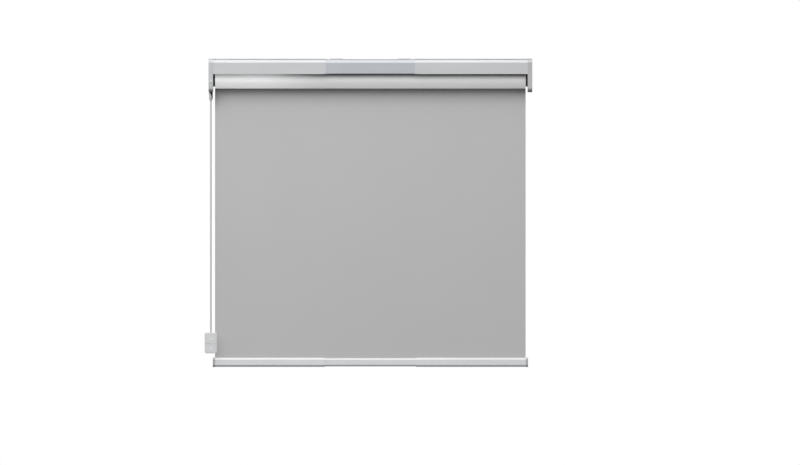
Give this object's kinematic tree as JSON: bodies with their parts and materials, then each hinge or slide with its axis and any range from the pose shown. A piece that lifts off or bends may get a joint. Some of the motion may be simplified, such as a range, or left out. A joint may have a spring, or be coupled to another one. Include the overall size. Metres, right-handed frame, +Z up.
{
  "type": "motorized roller shade",
  "caption": "Width-adjustable motorized roller shade: telescoping head rail and bottom rail, reverse-rolled cloth and a two-button pendant on a cord at the control side.",
  "frame": {"origin": "centre of the four wall screw holes, on the wall plane", "axes": "+X along the rail, to the right as seen from the room; +Y into the wall; +Z up"},
  "size_m": [1.0122, 0.0719, 0.9539],
  "materials": {
    "rail_aluminium": "satin anodised, light silver grey",
    "cover_plastic": "fine moulded, light grey",
    "steel": "zinc plated",
    "tube_aluminium": "mill finish",
    "dark_plastic": "matt black moulded",
    "cap_plastic": "mid grey moulded",
    "cloth": "light grey blackout cloth, white coated on the back",
    "cloth_back": "white coated window side of the same cloth, outward on the roll",
    "pendant_plastic": "light grey-white moulded",
    "board": "green circuit board",
    "gear_steel": "sintered steel",
    "copper": "varnished windings",
    "battery_wrap": "blue shrink wrap",
    "cord_rubber": "light grey cable jacket",
    "lead_rubber": "black coiled lead",
    "seal_rubber": "light grey soft flap",
    "light_plastic": "clear light pipe",
    "strip_plastic": "white plastic strip"
  },
  "bodies": {
    "headrail": {"headrail_profile": "rail_aluminium", "mounting_clips": "steel", "battery_casing": "battery_wrap", "battery_cells": "battery_wrap", "battery_caps": "dark_plastic", "battery_cradles": "dark_plastic", "battery_lead": "lead_rubber"},
    "left_side": {"headrail_sleeve_left": "rail_aluminium", "sleeve_insert_left": "dark_plastic", "end_plate_left": "steel", "end_cover_left": "cover_plastic", "end_screws_left": "steel", "motor_head": "dark_plastic", "motor_casing": "steel", "control_board": "board", "motor_can": "steel", "ring_gear": "gear_steel", "gearbox_cover": "gear_steel", "charge_socket": "steel", "cord_socket": "dark_plastic", "cord_fitting": "pendant_plastic"},
    "right_side": {"headrail_sleeve_right": "rail_aluminium", "sleeve_insert_right": "dark_plastic", "end_plate_right": "steel", "end_cover_right": "cover_plastic", "end_screws_right": "steel", "idler_boss": "dark_plastic"},
    "roll": {"cloth_roll": "cloth_back", "tube_centre": "tube_aluminium", "cloth_lock_strip": "strip_plastic"},
    "drive_end": {"tube_end_left": "tube_aluminium", "crown_ring": "dark_plastic", "planet_carrier": "gear_steel", "drive_wheel": "dark_plastic"},
    "rotor": {"motor_rotor": "copper", "sun_gear": "gear_steel"},
    "planet_1": {"planet_gear_1": "gear_steel"},
    "planet_2": {"planet_gear_2": "gear_steel"},
    "planet_3": {"planet_gear_3": "gear_steel"},
    "idler_end": {"tube_end_right": "tube_aluminium", "idler_plug": "dark_plastic", "idler_spring": "steel"},
    "idler_pin": {"idler_pin": "steel"},
    "bottom_rail": {"bottom_rail_profile": "rail_aluminium", "hem_rod": "strip_plastic", "weight_bar": "steel", "shade_cloth": "cloth"},
    "bottom_left": {"bottom_sleeve_left": "rail_aluminium", "bottom_cap_left": "cap_plastic"},
    "bottom_right": {"bottom_sleeve_right": "rail_aluminium", "bottom_cap_right": "cap_plastic"},
    "pair_button": {"pair_button": "pendant_plastic"},
    "charge_flap": {"charge_flap": "seal_rubber"},
    "pendant": {"pendant_cord": "cord_rubber", "pendant_front": "pendant_plastic", "pendant_back": "pendant_plastic", "pendant_board": "board", "light_pipe": "light_plastic"},
    "button_up": {"button_up": "pendant_plastic"},
    "button_down": {"button_down": "pendant_plastic"}
  },
  "joints": [
    {"name": "roll_spin", "type": "hinge", "parent": "headrail", "child": "roll", "pos_m": [0, -0.0395, -0.0446], "axis": [1, 0, 0], "range_deg": [0, 1994.38]},
    {"name": "shade_lift", "type": "slide", "parent": "headrail", "child": "bottom_rail", "axis": [0, 0, 1], "range_m": [0, 0.818], "deforming": ["shade_cloth"]},
    {"name": "width_left", "type": "slide", "parent": "headrail", "child": "left_side", "axis": [-1, 0, 0], "range_m": [0, 0.15], "deforming": ["battery_lead"]},
    {"name": "width_right", "type": "slide", "parent": "headrail", "child": "right_side", "axis": [1, 0, 0], "range_m": [0, 0.15]},
    {"name": "drive_end_spin", "type": "hinge", "parent": "left_side", "child": "drive_end", "pos_m": [0, -0.0395, -0.0446], "axis": [1, 0, 0], "range_deg": [0, 1994.39]},
    {"name": "idler_end_spin", "type": "hinge", "parent": "right_side", "child": "idler_end", "pos_m": [0, -0.0395, -0.0446], "axis": [1, 0, 0], "range_deg": [0, 1994.39]},
    {"name": "rotor_spin", "type": "hinge", "parent": "left_side", "child": "rotor", "pos_m": [0, -0.0395, -0.0446], "axis": [1, 0, 0], "range_deg": [0, 8974.76]},
    {"name": "planet_1_spin", "type": "hinge", "parent": "drive_end", "child": "planet_1", "pos_m": [0, -0.0395, -0.0365], "axis": [1, 0, 0], "range_deg": [-5584.32, 0]},
    {"name": "planet_2_spin", "type": "hinge", "parent": "drive_end", "child": "planet_2", "pos_m": [0, -0.04652, -0.04865], "axis": [1, 0, 0], "range_deg": [-5584.32, 0]},
    {"name": "planet_3_spin", "type": "hinge", "parent": "drive_end", "child": "planet_3", "pos_m": [0, -0.03248, -0.04865], "axis": [1, 0, 0], "range_deg": [-5584.32, 0]},
    {"name": "idler_pin_push", "type": "slide", "parent": "idler_end", "child": "idler_pin", "axis": [-1, 0, 0], "range_m": [0, 0.008], "stiffness_N_per_m": 400, "springref_m": -0.004, "deforming": ["idler_spring"]},
    {"name": "bottom_width_left", "type": "slide", "parent": "bottom_rail", "child": "bottom_left", "axis": [-1, 0, 0], "range_m": [0, 0.15]},
    {"name": "bottom_width_right", "type": "slide", "parent": "bottom_rail", "child": "bottom_right", "axis": [1, 0, 0], "range_m": [0, 0.15]},
    {"name": "pair_button_press", "type": "slide", "parent": "left_side", "child": "pair_button", "axis": [0, 1, 0], "range_m": [0, 0.0008], "stiffness_N_per_m": 800, "springref_m": -0.0005},
    {"name": "charge_flap_open", "type": "hinge", "parent": "left_side", "child": "charge_flap", "pos_m": [-0.493, -0.0711, -0.0502], "axis": [-1, 0, 0], "range_deg": [0, 115]},
    {"name": "pendant_swing", "type": "hinge", "parent": "left_side", "child": "pendant", "pos_m": [-0.493, -0.04, -0.1088], "axis": [0, 1, 0], "range_deg": [-40, 40]},
    {"name": "button_up_press", "type": "slide", "parent": "pendant", "child": "button_up", "axis": [0, 1, 0], "range_m": [0, 0.0009], "stiffness_N_per_m": 800, "springref_m": -0.0005},
    {"name": "button_down_press", "type": "slide", "parent": "pendant", "child": "button_down", "axis": [0, 1, 0], "range_m": [0, 0.0009], "stiffness_N_per_m": 800, "springref_m": -0.0005}
  ],
  "couplings": [
    {"joint": "shade_lift", "follows": "roll_spin", "m_per_rad": 0.0235},
    {"joint": "drive_end_spin", "follows": "roll_spin", "ratio": 1},
    {"joint": "idler_end_spin", "follows": "roll_spin", "ratio": 1},
    {"joint": "rotor_spin", "follows": "roll_spin", "ratio": 4.5},
    {"joint": "planet_1_spin", "follows": "roll_spin", "ratio": -2.8},
    {"joint": "planet_2_spin", "follows": "roll_spin", "ratio": -2.8},
    {"joint": "planet_3_spin", "follows": "roll_spin", "ratio": -2.8}
  ]
}
